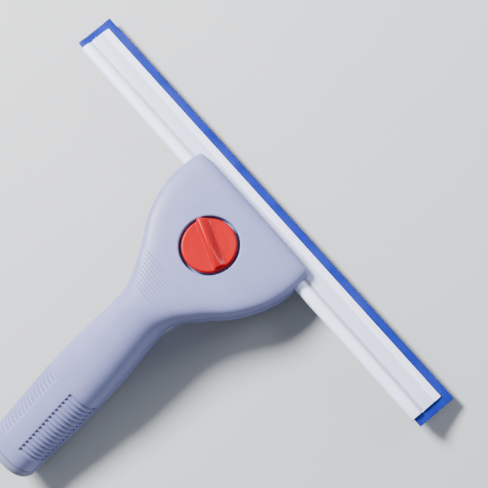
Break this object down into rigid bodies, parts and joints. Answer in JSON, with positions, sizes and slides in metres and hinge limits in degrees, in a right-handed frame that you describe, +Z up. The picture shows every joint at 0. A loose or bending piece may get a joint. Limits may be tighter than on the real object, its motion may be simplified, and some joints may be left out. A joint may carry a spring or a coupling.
{
  "type": "window squeegee",
  "caption": "Window squeegee with a rubber blade in a long metal channel, clamped by a knob in a wide head on a bent plastic grip with a pole socket.",
  "frame": {"origin": "centre of the box's underside: the tool lies on its back on Z = 0", "axes": "+X along the blade, +Y from the grip's end towards the blade, +Z up, out of the head's front face where the knob is"},
  "size_m": [0.3, 0.2182, 0.0444],
  "materials": {
    "handle_plastic": "satin lavender grey moulded plastic with fine grain",
    "socket_plastic": "satin grey moulded plastic",
    "knob_plastic": "semi-gloss red moulded plastic",
    "white_aluminium": "white coated aluminium extrusion, satin",
    "blade_rubber": "royal blue rubber",
    "pad_rubber": "black rubber",
    "jaw_plastic": "dark glass-filled plastic",
    "steel": "zinc plated steel"
  },
  "bodies": {
    "handle": {"front_shell": "handle_plastic", "rear_shell": "handle_plastic", "head_screw_left": "steel", "head_screw_right": "steel", "neck_screw": "steel", "grip_screw_upper": "steel", "grip_screw_lower": "steel", "pole_socket": "socket_plastic", "front_pad": "pad_rubber", "guide_pin_left": "steel", "guide_pin_right": "steel", "jaw_spring": "steel"},
    "knob": {"clamp_knob": "knob_plastic", "clamp_stud": "steel", "knob_washer": "steel", "retaining_clip": "steel"},
    "jaw": {"clamp_jaw": "jaw_plastic", "clamp_nut": "steel", "rear_pad": "pad_rubber"},
    "channel": {"channel": "white_aluminium"},
    "rubber": {"rubber_blade": "blade_rubber"}
  },
  "joints": [
    {"name": "knob_turn", "type": "hinge", "parent": "handle", "child": "knob", "pos_m": [0, 0.06901, 0.03123], "axis": [0, 0.3188, 0.9478], "range_deg": [0, 450]},
    {"name": "jaw_open", "type": "slide", "parent": "handle", "child": "jaw", "axis": [0, -0.3188, -0.9478], "range_m": [0, 0.00125], "deforming": ["jaw_spring"]},
    {"name": "channel_slide", "type": "slide", "parent": "handle", "child": "channel", "axis": [1, 0, 0], "range_m": [-0.095, 0.095]},
    {"name": "rubber_slide", "type": "slide", "parent": "channel", "child": "rubber", "axis": [1, 0, 0], "range_m": [-0.14, 0.14]}
  ],
  "couplings": [
    {"joint": "knob_turn", "follows": "jaw_open", "rad_per_m": 6283.2}
  ]
}
